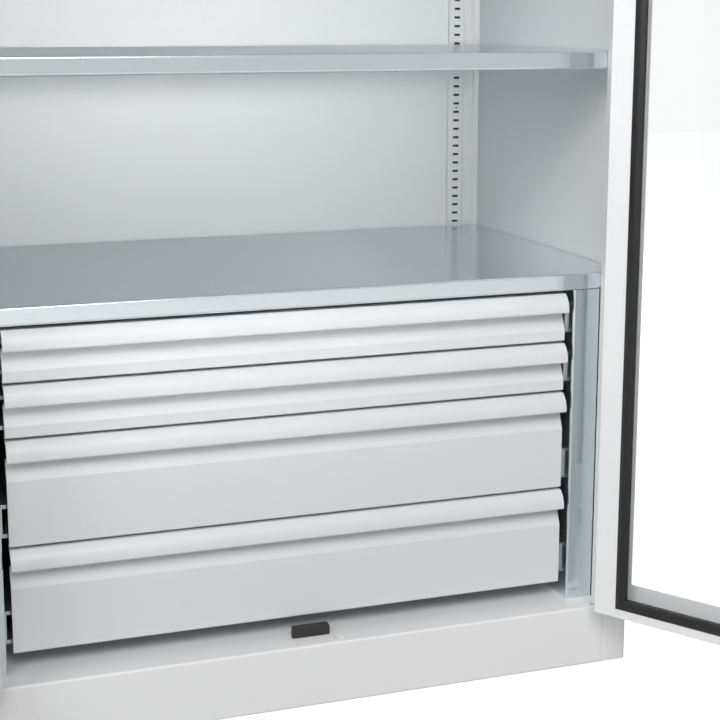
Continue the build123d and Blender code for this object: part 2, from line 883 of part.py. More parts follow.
# Lock nodes
save("lock_plate", swing(lock_plate(), 1))
save("lock_case", swing(lock_case(), 1))
save("lock_handle", swing(lock_handle(), 1))
save("lock_cam", swing(lock_cam(), 1))
save("key_plug", swing(key_plug(), 1))
save("rod_lower", swing(lock_rod(1), 1))
save("rod_upper", swing(lock_rod(-1), 1))
save("rod_guides", swing(rod_guides(), 1))
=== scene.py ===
# %% [markdown]
# # A heavy-duty workshop cabinet in sheet steel
#
# The cabinet is folded from light grey sheet, with four drawers below, galvanised shelves above and
# two glazed wing doors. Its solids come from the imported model, all in one frame: metres, Z up,
# X across the front, Y into the depth, and Z = 0 on the floor.
#
# This lesson dresses those solids. It loads them, sets up the camera, the light and the floor,
# mixes one finish for each kind of metal, rubber, plastic and glass, and then adds the pieces that
# a solid model leaves plain: the rounded rubber profile of the windows, screws, feet and the lock.

# %% Load the cabinet
import json
import math

import bmesh
import bpy
import numpy as np
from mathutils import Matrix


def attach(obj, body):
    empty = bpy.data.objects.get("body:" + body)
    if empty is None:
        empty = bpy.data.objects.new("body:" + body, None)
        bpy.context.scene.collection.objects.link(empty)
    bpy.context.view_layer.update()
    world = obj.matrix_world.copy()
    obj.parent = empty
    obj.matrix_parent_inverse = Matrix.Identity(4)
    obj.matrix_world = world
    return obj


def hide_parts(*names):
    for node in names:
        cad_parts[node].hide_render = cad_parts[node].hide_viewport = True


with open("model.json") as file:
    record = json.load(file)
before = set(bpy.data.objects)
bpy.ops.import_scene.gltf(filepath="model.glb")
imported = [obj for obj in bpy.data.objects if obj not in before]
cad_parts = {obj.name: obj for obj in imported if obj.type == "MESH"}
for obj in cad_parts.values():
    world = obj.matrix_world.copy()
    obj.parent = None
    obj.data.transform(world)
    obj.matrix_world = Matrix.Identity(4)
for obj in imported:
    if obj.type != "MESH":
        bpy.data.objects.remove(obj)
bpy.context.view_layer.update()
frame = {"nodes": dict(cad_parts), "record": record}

# %% [markdown]
# ## Camera
#
# The view is the one of a shop picture: from the front left, at waist height, close enough that the
# top of the cabinet and the left door are out of the frame. A technical camera would keep the
# uprights parallel by shifting its lens a long way. That shift would stay when the camera is moved
# round the cabinet, so most of it is made by tilting the camera down instead, and only a small
# shift is left.

# %% Set the camera
PICTURE = 720
FOCAL_PIXELS = 1505.5
SENSOR_WIDTH = 36.0
LENS_SHIFT = (0.0239, -0.1)
EYE = (-0.6055, -1.9053, 0.9682)
LOOK_DOWN, LOOK_RIGHT = 10.33, 18.86

camera_data = bpy.data.cameras.new("camera")
camera_data.sensor_width = SENSOR_WIDTH
camera_data.lens = FOCAL_PIXELS / PICTURE * SENSOR_WIDTH
camera_data.shift_x, camera_data.shift_y = LENS_SHIFT
camera = bpy.data.objects.new("camera", camera_data)
bpy.context.scene.collection.objects.link(camera)
camera.location = EYE
camera.rotation_euler = (math.radians(90 - LOOK_DOWN), 0.0, math.radians(-LOOK_RIGHT))
bpy.context.scene.camera = camera
print("lens", round(camera_data.lens, 2), "mm at", EYE)

# %% [markdown]
# ## Floor and light
#
# A white studio: a floor that takes the shadow, a white surround and soft lamps. A large key lamp
# stands high in front, a second one lights the side walls from the left, and two weak ones at the
# height of the shelves reach into the deep shelves, where light from above can't get. A lamp at the
# back keeps the other side from going dark. The last three are kept out of mirrors, because a lamp
# that shines in the zinc would be a spot of light that the picture doesn't show. The surround
# is brighter to the eye and to mirrors than it is as a lamp, so that the background is white while
# the lamps stay at a plain level.

# %% Make the floor
FLOOR_HALF = 9.0
FLOOR_POINTS = 7


def link_object(name, mesh):
    """Puts a mesh into the scene as an object at the origin."""
    piece = bpy.data.objects.new(name, mesh)
    bpy.context.scene.collection.objects.link(piece)
    return piece


def floor_points(half, count):
    """A flat square grid: x and y run over equal steps from -half to half, z is 0."""
    steps = np.linspace(-half, half, count)
    x, y = np.meshgrid(steps, steps, indexing="ij")
    return np.stack([x, y, np.zeros_like(x)], axis=-1)


def grid_quads(rows, columns, close_rows=False, close_columns=False):
    """Corner numbers of the quads over a grid of points, wrapped round where an edge is closed."""
    i = np.arange(rows if close_rows else rows - 1)
    j = np.arange(columns if close_columns else columns - 1)
    i, j = (a.ravel() for a in np.meshgrid(i, j, indexing="ij"))
    k, m = (i + 1) % rows, (j + 1) % columns
    return np.stack([i * columns + j, k * columns + j, k * columns + m, i * columns + m], axis=1)


grid = floor_points(FLOOR_HALF, FLOOR_POINTS)
floor_mesh = bpy.data.meshes.new("studio_floor")
floor_mesh.from_pydata(grid.reshape(-1, 3).tolist(), [], grid_quads(FLOOR_POINTS, FLOOR_POINTS).tolist())
studio_floor = link_object("studio_floor", floor_mesh)
print("floor quads", len(floor_mesh.polygons))

# %% Light the surround
SURROUND_LIGHT = 0.21
SURROUND_SEEN = 1.0
MIRRORED_SHARE = 0.42


def set_or_link(tree, socket, value):
    """Gives a socket its number or colour, or links another socket to it."""
    if isinstance(value, (int, float, tuple)):
        socket.default_value = value
    else:
        tree.links.new(value, socket)


def math_node(tree, operation, *values):
    """A Math node whose inputs are numbers or sockets."""
    node = tree.nodes.new("ShaderNodeMath")
    node.operation = operation
    for number, value in enumerate(values):
        set_or_link(tree, node.inputs[number], value)
    return node.outputs[0]


def map_range(tree, value, low, high, to_low=0.0, to_high=1.0):
    """A Map Range node: value from low..high to to_low..to_high."""
    node = tree.nodes.new("ShaderNodeMapRange")
    labels = ("Value", "From Min", "From Max", "To Min", "To Max")
    for label, setting in zip(labels, (value, low, high, to_low, to_high)):
        set_or_link(tree, node.inputs[label], setting)
    return node.outputs["Result"]


world = bpy.data.worlds.new("studio")
world.use_nodes = True
bpy.context.scene.world = world
sky = world.node_tree
sky.nodes.clear()
sky_output = sky.nodes.new("ShaderNodeOutputWorld")
background = sky.nodes.new("ShaderNodeBackground")
background.inputs["Color"].default_value = (1.0, 1.0, 1.0, 1.0)
path = sky.nodes.new("ShaderNodeLightPath")
mirrored = math_node(sky, "MULTIPLY", path.outputs["Is Glossy Ray"], MIRRORED_SHARE)
seen = math_node(sky, "MAXIMUM", path.outputs["Is Camera Ray"], mirrored)
seen = math_node(sky, "MAXIMUM", seen, path.outputs["Is Transmission Ray"])
strength = map_range(sky, seen, 0.0, 1.0, SURROUND_LIGHT, SURROUND_SEEN)
sky.links.new(strength, background.inputs["Strength"])
sky.links.new(background.outputs[0], sky_output.inputs["Surface"])
print("surround", SURROUND_LIGHT, "as a lamp,", SURROUND_SEEN, "to the eye")

# %% Light the studio
WIDE = 180.0
# Each lamp has its place, the point it faces, its width and height, its watts, the spread of its
# light in degrees, and whether mirrors show it.
LAMPS = {
    "key_lamp": ((-1.05, -4.4, 4.6), (0.0, 0.1, 0.8), (3.8, 3.0), 213.0, WIDE, True),
    "side_lamp": ((-2.6, -2.0, 2.1), (0.2, 0.0, 0.9), (1.6, 1.6), 52.0, WIDE, True),
    "front_lamp": ((-0.3, -3.4, 1.0), (0.0, 0.5, 0.9), (1.2, 0.8), 6.0, WIDE, False),
    "level_lamp": ((-0.25, -3.0, 1.1), (-0.06, 0.5, 1.04), (0.5, 0.4), 1.9, 27.0, False),
    "rear_lamp": ((2.2, 3.2, 2.6), (0.1, 0.3, 1.0), (3.0, 2.0), 125.0, WIDE, False),
}


def soft_lamp(name, place, aim, size, power, spread, in_mirrors):
    """A soft lamp at a place, turned to face a point; a small spread keeps its light together."""
    data = bpy.data.lights.new(name, "AREA")
    data.shape = "RECTANGLE"
    data.size, data.size_y = size
    data.energy = power
    data.spread = math.radians(spread)
    lamp = bpy.data.objects.new(name, data)
    bpy.context.scene.collection.objects.link(lamp)
    lamp.visible_camera = False
    lamp.visible_glossy = in_mirrors
    lamp.location = place
    x, y, z = np.array(aim) - np.array(place)
    lamp.rotation_euler = (math.atan2(math.hypot(x, y), -z), 0.0, math.atan2(-x, y))
    return lamp


for name, values in LAMPS.items():
    print(name, soft_lamp(name, *values).data.energy, "watts")
bpy.context.scene.view_settings.view_transform = "Standard"

# %% [markdown]
# ## Shared effects
#
# Some effects return in several finishes: the fine skin of powder coat, the slow drift of tone over
# a large sheet, the crystals of hot-dip zinc and the fine lines that rolling leaves. A fifth one
# marks the inside of a box, where a finish is darkened with painted shade. Each is a shader node
# group with named inputs. They read Object coordinates, in metres, and since every object sits at
# the origin the pattern has its real scale and runs on from sheet to sheet.

# %% Make the helpers for node groups
# A Mix node has sockets of every kind: these are the ones for its two colours and its result.
MIX_FIRST, MIX_SECOND, MIX_RESULT = 6, 7, 2
SOCKETS = {"value": "NodeSocketFloat", "vector": "NodeSocketVector", "colour": "NodeSocketColor"}


def start_group(name, inputs, outputs):
    """A shader node group with its sockets, (label, kind, value) and (label, kind), and two ends."""
    group = bpy.data.node_groups.new(name, "ShaderNodeTree")
    for label, kind, value in inputs:
        socket = group.interface.new_socket(label, in_out="INPUT", socket_type=SOCKETS[kind])
        if value is not None:
            socket.default_value = value
    for label, kind in outputs:
        group.interface.new_socket(label, in_out="OUTPUT", socket_type=SOCKETS[kind])
    return group, group.nodes.new("NodeGroupInput"), group.nodes.new("NodeGroupOutput")


def noise(tree, vector, scale, detail, roughness):
    """A noise texture whose scale is a number or a socket."""
    node = tree.nodes.new("ShaderNodeTexNoise")
    node.inputs["Detail"].default_value = detail
    node.inputs["Roughness"].default_value = roughness
    tree.links.new(vector, node.inputs["Vector"])
    set_or_link(tree, node.inputs["Scale"], scale)
    return node.outputs["Fac"]


def weigh(tree, first, share, second):
    """The first value times its share, plus the second times the rest."""
    return math_node(tree, "ADD", math_node(tree, "MULTIPLY", first, share),
                     math_node(tree, "MULTIPLY", second, 1.0 - share))


def mix_colour(tree, factor, first, second):
    """A colour Mix node; the colours and the factor are values or sockets."""
    node = tree.nodes.new("ShaderNodeMix")
    node.data_type = "RGBA"
    set_or_link(tree, node.inputs["Factor"], factor)
    set_or_link(tree, node.inputs[MIX_FIRST], first)
    set_or_link(tree, node.inputs[MIX_SECOND], second)
    return node.outputs[MIX_RESULT]


print("socket kinds", list(SOCKETS))

# %% Make the node groups for paint
def powder_skin_group():
    """Powder coat: a rounded orange-peel height and a soft mask of glossier and duller places."""
    group, start, end = start_group(
        "powder_skin", [("Vector", "vector", None), ("Grain", "value", 700.0)],
        [("Height", "value"), ("Mask", "value")])
    place, grain = start.outputs["Vector"], start.outputs["Grain"]
    coarse = noise(group, place, grain, detail=2.0, roughness=0.4)
    fine = noise(group, place, math_node(group, "MULTIPLY", grain, 2.7), detail=1.0, roughness=0.5)
    height = math_node(group, "ADD", coarse, math_node(group, "MULTIPLY", fine, 0.35))
    patches = map_range(group, noise(group, place, 9.0, detail=4.0, roughness=0.6), 0.35, 0.65)
    group.links.new(height, end.inputs["Height"])
    group.links.new(patches, end.inputs["Mask"])
    return group


def tone_drift_group():
    """A slow change of tone over a sheet, with a trace of finer mottling."""
    group, start, end = start_group(
        "tone_drift",
        [("Vector", "vector", None), ("Light", "colour", (0.7, 0.7, 0.7, 1.0)),
         ("Dark", "colour", (0.65, 0.65, 0.65, 1.0)), ("Fine Scale", "value", 60.0)],
        [("Color", "colour")])
    place = start.outputs["Vector"]
    slow = noise(group, place, 1.7, detail=2.0, roughness=0.5)
    fine = noise(group, place, start.outputs["Fine Scale"], detail=4.0, roughness=0.6)
    share = map_range(group, weigh(group, slow, 0.75, fine), 0.35, 0.65)
    colour = mix_colour(group, share, start.outputs["Light"], start.outputs["Dark"])
    group.links.new(colour, end.inputs["Color"])
    return group


POWDER_SKIN = powder_skin_group()
TONE_DRIFT = tone_drift_group()
print("paint groups", POWDER_SKIN.name, TONE_DRIFT.name)

# %% Make the node groups for zinc
RIPPLE_SCALE = 55.0
RIPPLE_REACH = 0.012


def zinc_crystals_group():
    """Hot-dip zinc: flat crystals, each with its own tone, as a mask.

    The cells of two Voronoi textures are weighed together. Both are read at places that a noise
    moves by up to the ripple's reach, so that the crystals have no straight sides.
    """
    group, start, end = start_group(
        "zinc_crystals", [("Vector", "vector", None), ("Size", "value", 90.0)], [("Mask", "value")])
    ripple = group.nodes.new("ShaderNodeTexNoise")
    ripple.inputs["Scale"].default_value = RIPPLE_SCALE
    group.links.new(start.outputs["Vector"], ripple.inputs["Vector"])
    warp = group.nodes.new("ShaderNodeVectorMath")
    warp.operation = "MULTIPLY_ADD"
    group.links.new(ripple.outputs["Color"], warp.inputs[0])
    warp.inputs[1].default_value = (RIPPLE_REACH, RIPPLE_REACH, RIPPLE_REACH)
    group.links.new(start.outputs["Vector"], warp.inputs[2])
    tones = []
    for feature in ("F1", "F2"):
        cells = group.nodes.new("ShaderNodeTexVoronoi")
        cells.feature = feature
        group.links.new(warp.outputs[0], cells.inputs["Vector"])
        group.links.new(start.outputs["Size"], cells.inputs["Scale"])
        parts = group.nodes.new("ShaderNodeSeparateColor")
        group.links.new(cells.outputs["Color"], parts.inputs["Color"])
        tones.append(parts.outputs["Red"])
    group.links.new(weigh(group, tones[0], 0.7, tones[1]), end.inputs["Mask"])
    return group


def rolled_lines_group():
    """Fine lines that rolling or drawing leaves: noise stretched along one axis by the stretch."""
    group, start, end = start_group(
        "rolled_lines", [("Vector", "vector", None), ("Stretch", "vector", (4.0, 900.0, 900.0))],
        [("Mask", "value")])
    scaled = group.nodes.new("ShaderNodeVectorMath")
    scaled.operation = "MULTIPLY"
    group.links.new(start.outputs["Vector"], scaled.inputs[0])
    group.links.new(start.outputs["Stretch"], scaled.inputs[1])
    lines = noise(group, scaled.outputs[0], 1.0, detail=3.0, roughness=0.6)
    group.links.new(map_range(group, lines, 0.3, 0.7), end.inputs["Mask"])
    return group


ZINC_CRYSTALS = zinc_crystals_group()
ROLLED_LINES = rolled_lines_group()
print("zinc groups", ZINC_CRYSTALS.name, ROLLED_LINES.name)

# %% Make the node group that marks a box
def box_mask_group():
    """1 inside a box and its mirror image across x = 0, else 0.

    A place is inside where each of |(|x|, y, z) - middle| is less than half the size.
    """
    group, start, end = start_group(
        "box_mask",
        [("Vector", "vector", None), ("Middle", "vector", (0, 0, 0)), ("Half", "vector", (1, 1, 1))],
        [("Mask", "value")])
    whole = group.nodes.new("ShaderNodeSeparateXYZ")
    folded = group.nodes.new("ShaderNodeCombineXYZ")
    group.links.new(start.outputs["Vector"], whole.inputs[0])
    group.links.new(math_node(group, "ABSOLUTE", whole.outputs[0]), folded.inputs[0])
    for number in (1, 2):
        group.links.new(whole.outputs[number], folded.inputs[number])
    value = folded.outputs[0]
    for operation, other in (("SUBTRACT", "Middle"), ("ABSOLUTE", None), ("SUBTRACT", "Half")):
        step = group.nodes.new("ShaderNodeVectorMath")
        step.operation = operation
        group.links.new(value, step.inputs[0])
        if other:
            group.links.new(start.outputs[other], step.inputs[1])
        value = step.outputs[0]
    parts = group.nodes.new("ShaderNodeSeparateXYZ")
    group.links.new(value, parts.inputs[0])
    most = math_node(group, "MAXIMUM", parts.outputs[0], parts.outputs[1])
    most = math_node(group, "MAXIMUM", most, parts.outputs[2])
    group.links.new(math_node(group, "LESS_THAN", most, 0.0), end.inputs["Mask"])
    return group


BOX_MASK = box_mask_group()
print("groups", [group.name for group in bpy.data.node_groups])

# %% [markdown]
# ## Finishes
#
# A finish is a Principled BSDF fed by those groups. Paint is not metallic and takes its colour from
# the pigment. Zinc is a metal whose colour is its mirror colour; a new hot-dip sheet is milky, so a
# share of it is left non-metallic. The colours were matched to a picture of such a cabinet. There
# the shelves look paler than the zinc parts round the drawers, because they mirror the bright back
# wall, so they have a paler copy of the same zinc: painted light.
#
# The slots in the uprights look nearly black in that picture, because the hollow behind them lies in
# deep shadow. A box mask darkens the paint there to near black: painted shade for that hollow. It
# could be a separate dark strip, but that would be one more piece where the real cabinet has none.

# %% Make the paints and the zinc
def blank_material(name):
    """A material with one Principled BSDF wired to its output."""
    material = bpy.data.materials.new(name)
    material.use_nodes = True
    tree = material.node_tree
    tree.nodes.clear()
    output = tree.nodes.new("ShaderNodeOutputMaterial")
    shader = tree.nodes.new("ShaderNodeBsdfPrincipled")
    tree.links.new(shader.outputs["BSDF"], output.inputs["Surface"])
    return material, tree, shader


def find_node(material, kind):
    """The material's only node of a kind."""
    return next(node for node in material.node_tree.nodes if node.type == kind)


def place_group(tree, group, vector, **values):
    """Puts a group into a material and sets its inputs."""
    node = tree.nodes.new("ShaderNodeGroup")
    node.node_tree = group
    tree.links.new(vector, node.inputs["Vector"])
    for label, value in values.items():
        node.inputs[label].default_value = value
    return node


def object_place(tree):
    """The place on the object, in metres."""
    return tree.nodes.new("ShaderNodeTexCoord").outputs["Object"]


def add_bump(tree, shader, height, strength, distance):
    """A Bump node that feeds the shader's normal."""
    bump = tree.nodes.new("ShaderNodeBump")
    bump.inputs["Strength"].default_value = strength
    bump.inputs["Distance"].default_value = distance
    tree.links.new(height, bump.inputs["Height"])
    tree.links.new(bump.outputs["Normal"], shader.inputs["Normal"])


def powder_coat(name, light, dark, roughness, grain, depth):
    """Powder coat with a drifting tone, an orange-peel skin and an uneven gloss."""
    material, tree, shader = blank_material(name)
    place = object_place(tree)
    tone = place_group(tree, TONE_DRIFT, place, Light=light, Dark=dark)
    skin = place_group(tree, POWDER_SKIN, place, Grain=grain)
    gloss = map_range(tree, skin.outputs["Mask"], 0.0, 1.0, roughness - 0.03, roughness + 0.04)
    tree.links.new(tone.outputs["Color"], shader.inputs["Base Color"])
    tree.links.new(gloss, shader.inputs["Roughness"])
    add_bump(tree, shader, skin.outputs["Height"], strength=0.25, distance=depth)
    return material


def zinc_sheet(name, light, dark, roughness, metallic, size, stretch):
    """Zinc-coated sheet: crystals change tone and gloss, rolled lines lie under them."""
    material, tree, shader = blank_material(name)
    place = object_place(tree)
    crystals = place_group(tree, ZINC_CRYSTALS, place, Size=size)
    lines = place_group(tree, ROLLED_LINES, place, Stretch=stretch)
    blend = weigh(tree, crystals.outputs["Mask"], 0.6, lines.outputs["Mask"])
    gloss = map_range(tree, blend, 0.0, 1.0, roughness - 0.02, roughness + 0.02)
    tree.links.new(mix_colour(tree, blend, light, dark), shader.inputs["Base Color"])
    tree.links.new(gloss, shader.inputs["Roughness"])
    shader.inputs["Metallic"].default_value = metallic
    add_bump(tree, shader, blend, strength=0.1, distance=0.00001)
    return material


def moulded(name, light, dark, roughness, grain, depth, specular=0.5):
    """Moulded rubber or plastic: fine grain, a slightly uneven tone and gloss."""
    material = powder_coat(name, light, dark, roughness, grain, depth)
    find_node(material, "BSDF_PRINCIPLED").inputs["Specular IOR Level"].default_value = specular
    return material


def paint_slot_shade(material, boxes, shade_colour):
    """Darkens the sheet inside some boxes, each (middle, half size), with painted shade for a hollow."""
    tree = material.node_tree
    base = find_node(material, "BSDF_PRINCIPLED").inputs["Base Color"]
    colour = base.links[0].from_socket
    place = object_place(tree)
    for middle, half in boxes:
        mask = place_group(tree, BOX_MASK, place, Middle=middle, Half=half)
        colour = mix_colour(tree, mask.outputs["Mask"], colour, shade_colour)
    tree.links.new(colour, base)


print("ready to mix", len(bpy.data.node_groups), "groups into finishes")

# %% Mix the finishes
# Painted shade: the sheet behind the slots of the uprights at the back wall, and of those at the side
# walls, which lies in deep shadow.
HOLLOWS = [
    ((0.4535, 0.5759, 1.0), (0.0105, 0.0027, 1.0)),
    ((0.4959, 0.077, 1.0), (0.0027, 0.0105, 1.0)),
]
# Near black: painted shade for the shadow inside the uprights' hollow, not the colour of the sheet.
PAINTED_SLOT_SHADE = (0.022, 0.023, 0.025, 1)

cabinet_grey = powder_coat(
    "cabinet_grey", (0.785, 0.785, 0.79, 1), (0.77, 0.772, 0.776, 1),
    roughness=0.42, grain=620.0, depth=0.00006)
# Paints the shade of the hollows behind the slots into the cabinet grey.
paint_slot_shade(cabinet_grey, HOLLOWS, PAINTED_SLOT_SHADE)
drawer_grey = powder_coat(
    "drawer_grey", (0.665, 0.68, 0.69, 1), (0.65, 0.665, 0.675, 1),
    roughness=0.34, grain=700.0, depth=0.00008)
galvanised = zinc_sheet(
    "galvanised", (0.70, 0.78, 0.81, 1), (0.68, 0.76, 0.79, 1),
    roughness=0.18, metallic=0.95, size=70.0, stretch=(3.0, 700.0, 700.0))
# A paler copy of the zinc for the shelves: painted light for the bright wall that they mirror.
shelf_zinc_painted_lighter = zinc_sheet(
    "shelf_zinc_painted_lighter", (0.83, 0.90, 0.93, 1), (0.81, 0.88, 0.91, 1),
    roughness=0.18, metallic=0.95, size=70.0, stretch=(3.0, 700.0, 700.0))
zinc_plate = zinc_sheet(
    "zinc_plate", (0.68, 0.69, 0.69, 1), (0.60, 0.61, 0.62, 1),
    roughness=0.24, metallic=0.9, size=260.0, stretch=(700.0, 5.0, 700.0))
window_rubber = moulded(
    "window_rubber", (0.016, 0.016, 0.017, 1), (0.012, 0.012, 0.013, 1),
    roughness=0.4, grain=900.0, depth=0.00004, specular=0.4)
black_plastic = moulded(
    "black_plastic", (0.024, 0.024, 0.024, 1), (0.019, 0.019, 0.019, 1),
    roughness=0.55, grain=1200.0, depth=0.00006)
black_coat = moulded(
    "black_coat", (0.026, 0.026, 0.027, 1), (0.020, 0.020, 0.021, 1),
    roughness=0.36, grain=900.0, depth=0.00006)
pale_nylon = moulded(
    "pale_nylon", (0.88, 0.88, 0.87, 1), (0.85, 0.85, 0.84, 1),
    roughness=0.45, grain=900.0, depth=0.00004)
print("finishes", [material.name for material in bpy.data.materials])

# %% Finish the floor
GLOW_FROM = 1.0


def bright_floor(name, eye_glow, mirror_glow):
    """A matt white floor with a glow for the eye and glass, and another for mirrors.

    A glow is (near, far, reach): it rises evenly from near, 1 m from the middle, to far at the reach.
    """
    material, tree, shader = blank_material(name)
    place = object_place(tree)
    tone = place_group(tree, TONE_DRIFT, place, Light=(0.56, 0.56, 0.56, 1), Dark=(0.55, 0.55, 0.55, 1))
    tree.links.new(tone.outputs["Color"], shader.inputs["Base Color"])
    shader.inputs["Roughness"].default_value = 0.9
    shader.inputs["Emission Color"].default_value = (1.0, 1.0, 1.0, 1.0)
    away = tree.nodes.new("ShaderNodeVectorMath")
    away.operation = "LENGTH"
    tree.links.new(place, away.inputs[0])
    path = tree.nodes.new("ShaderNodeLightPath")
    eye = math_node(tree, "MAXIMUM", path.outputs["Is Camera Ray"], path.outputs["Is Transmission Ray"])
    glows = []
    for ray, (near, far, reach) in ((eye, eye_glow), (path.outputs["Is Glossy Ray"], mirror_glow)):
        rise = map_range(tree, away.outputs["Value"], GLOW_FROM, reach, near, far)
        glows.append(math_node(tree, "MULTIPLY", ray, rise))
    tree.links.new(math_node(tree, "MAXIMUM", *glows), shader.inputs["Emission Strength"])
    return material


white_floor = bright_floor("white_floor", eye_glow=(0.62, 0.88, 3.0), mirror_glow=(0.05, 0.35, 4.0))
studio_floor.data.materials.append(white_floor)
print("floor finish", white_floor.name)

# %% [markdown]
# ## Window pane
#
# The panes are clear acrylic. Cycles lets no lamp light through a solid pane, because a shadow ray
# stops at it, and what lies behind would look dark. Real acrylic hardly dims the light, so rays that
# only carry light pass straight through, and the eye and mirrors meet the real pane. It bends light
# less than real acrylic does, so that it also mirrors less of the white studio.

# %% Mix the pane
PANE_IOR = 1.2
PANE_ROUGHNESS = 0.02


def clear_pane(name):
    """Clear acrylic to the eye, and open to rays that carry light."""
    material, tree, shader = blank_material(name)
    tone = place_group(tree, TONE_DRIFT, object_place(tree),
                       Light=(0.955, 0.962, 0.962, 1), Dark=(0.945, 0.955, 0.955, 1))
    tree.links.new(tone.outputs["Color"], shader.inputs["Base Color"])
    shader.inputs["Roughness"].default_value = PANE_ROUGHNESS
    shader.inputs["IOR"].default_value = PANE_IOR
    shader.inputs["Transmission Weight"].default_value = 1.0
    clear = tree.nodes.new("ShaderNodeBsdfTransparent")
    clear.inputs["Color"].default_value = (0.95, 0.96, 0.96, 1.0)
    path = tree.nodes.new("ShaderNodeLightPath")
    carried = math_node(tree, "MAXIMUM", path.outputs["Is Shadow Ray"], path.outputs["Is Diffuse Ray"])
    blend = tree.nodes.new("ShaderNodeMixShader")
    for number, socket in enumerate((carried, shader.outputs[0], clear.outputs[0])):
        tree.links.new(socket, blend.inputs[number])
    tree.links.new(blend.outputs[0], find_node(material, "OUTPUT_MATERIAL").inputs["Surface"])
    return material


acrylic = clear_pane("acrylic")
print("pane finish", acrylic.name)

# %% Give each solid its finish
FINISHES = {
    "cabinet_paint": cabinet_grey, "drawer_paint": drawer_grey, "galvanised_steel": galvanised,
    "bright_steel": zinc_plate, "rubber": window_rubber, "window_glass": acrylic,
    "black_plastic": black_plastic, "black_metal": black_coat, "pale_plastic": pale_nylon,
}
# The shelves take the paler copy of the zinc, which paints in the light that they mirror.
SHELVES = {"cover_shelf", "shelf_lower", "shelf_middle", "shelf_upper"}
slot_of = {part["node"]: part["material_slot"] for part in frame["record"]["subparts"]}
for name, node in frame["nodes"].items():
    node.data.materials.clear()
    node.data.materials.append(shelf_zinc_painted_lighter if name in SHELVES else FINISHES[slot_of[name]])
print("dressed", len(slot_of), "solids")

# %% [markdown]
# ## Surfaces for the detail pieces
#
# A fastener, a foot and a lever are all turned or pressed shapes. Each is a grid of points worked out
# from a formula, for which two kinds are enough here. A turned shape carries a profile round an
# axis. A slab with soft edges stacks the same rounded outline, each time a little smaller, so that
# its edge is round. The grids are joined into one mesh, equal points are merged where a pole or a
# seam closes, and the faces are turned outwards.

# %% Make pieces from grids
MM = 0.001
MERGE_DISTANCE = 0.000002
SHARP_ANGLE = math.radians(35.0)


def gather(parts):
    """Joins (points, quads) parts into one array of points and one of quads."""
    counts = np.array([len(points) for points, _ in parts])
    starts = np.concatenate([[0], np.cumsum(counts)[:-1]])
    quads = np.concatenate([quads + start for (_, quads), start in zip(parts, starts)])
    return np.concatenate([points for points, _ in parts]), quads


def make_piece(name, parts, slot_name, body):
    """A smooth-shaded piece from (points in millimetres, quads) parts, closed and facing outwards."""
    points, quads = gather(parts)
    mesh = bpy.data.meshes.new(name)
    mesh.from_pydata((points * MM).tolist(), [], quads.tolist())
    shape = bmesh.new()
    shape.from_mesh(mesh)
    bmesh.ops.remove_doubles(shape, verts=shape.verts, dist=MERGE_DISTANCE)
    bmesh.ops.recalc_face_normals(shape, faces=shape.faces)
    shape.to_mesh(mesh)
    shape.free()
    mesh.shade_smooth()
    mesh.set_sharp_from_angle(angle=SHARP_ANGLE)
    mesh.materials.append(FINISHES[slot_name])
    piece = link_object(name, mesh)
    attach(piece, body)
    print(name, len(mesh.polygons), "faces")
    return piece


print("one unit of the grids is", MM, "m")

# %% Work out turned shapes and soft slabs
def turned(profile, centre, segments, ripple=None):
    """A shape turned round an upright axis, in millimetres.

    Point (i, j) lies at the profile's radius r_i and height h_i, at the angle 2 pi j / segments. The
    ripple, if any, is a function of angle and height that is added to the radius.
    """
    radius, height = np.array(profile, float).T
    angle = np.linspace(0.0, 2 * np.pi, segments, endpoint=False)
    height, turn = np.meshgrid(height, angle, indexing="ij")
    radius = np.repeat(radius[:, None], segments, axis=1)
    if ripple is not None:
        radius = radius + ripple(turn, height)
    points = np.stack([radius * np.cos(turn), radius * np.sin(turn), height], axis=-1)
    points = points + np.array(centre, float)
    return points.reshape(-1, 3), grid_quads(*radius.shape, close_columns=True)


def soft_outline(half_size, corner, inset, steps):
    """A rounded rectangle set in by an inset.

    Each corner is an arc round (a - r, b - r) with radius r - inset, so the outline stays parallel.
    The corner radius is one number, or four from the right top corner on, anticlockwise.
    """
    a, b = half_size
    radii = np.broadcast_to(np.array(corner, float), (4,))
    signs = np.array([(1, 1), (-1, 1), (-1, -1), (1, -1)], float)
    quarter = np.linspace(0.0, np.pi / 2, steps)
    angle = quarter[None, :] + np.pi / 2 * np.arange(4)[:, None]
    centre = signs * np.stack([a - radii, b - radii], axis=1)
    arc = np.stack([np.cos(angle), np.sin(angle)], axis=-1)
    points = centre[:, None, :] + np.maximum(radii - inset, 0.0)[:, None, None] * arc
    return points.reshape(-1, 2)


def soft_slab(half_size, corner, rows, steps=6):
    """A slab with soft edges, as rows of (inset, height) from its back to its front.

    Row i is the outline set in by inset_i at height_i. Before the first row and after the last one
    comes a row that has shrunk to the middle, which closes the slab.
    """
    rings = [np.column_stack([soft_outline(half_size, corner, inset, steps), np.full(4 * steps, height)])
             for inset, height in rows]
    back, front = (np.tile(rings[end].mean(axis=0), (4 * steps, 1)) for end in (0, -1))
    points = np.array([back, *rings, front])
    return points.reshape(-1, 3), grid_quads(*points.shape[:2], close_columns=True)


def edge_rows(low, high, soft, back_soft=0.0, steps=5):
    """Rows (inset, height) of a slab from low to high.

    Its front edge, and its back edge where that is soft too, is a quarter round: at the angle t the
    inset is the radius times 1 - cos t, and the height is that much times 1 - sin t short of its end.
    """
    turn = np.linspace(0.0, np.pi / 2, steps)
    inset, short = 1 - np.cos(turn), 1 - np.sin(turn)
    front = np.stack([soft * inset, high - soft * short], axis=1)
    back = np.stack([back_soft * inset, low + back_soft * short], axis=1)[::-1]
    return np.concatenate([back if back_soft else [(0.0, low)], front]).tolist()


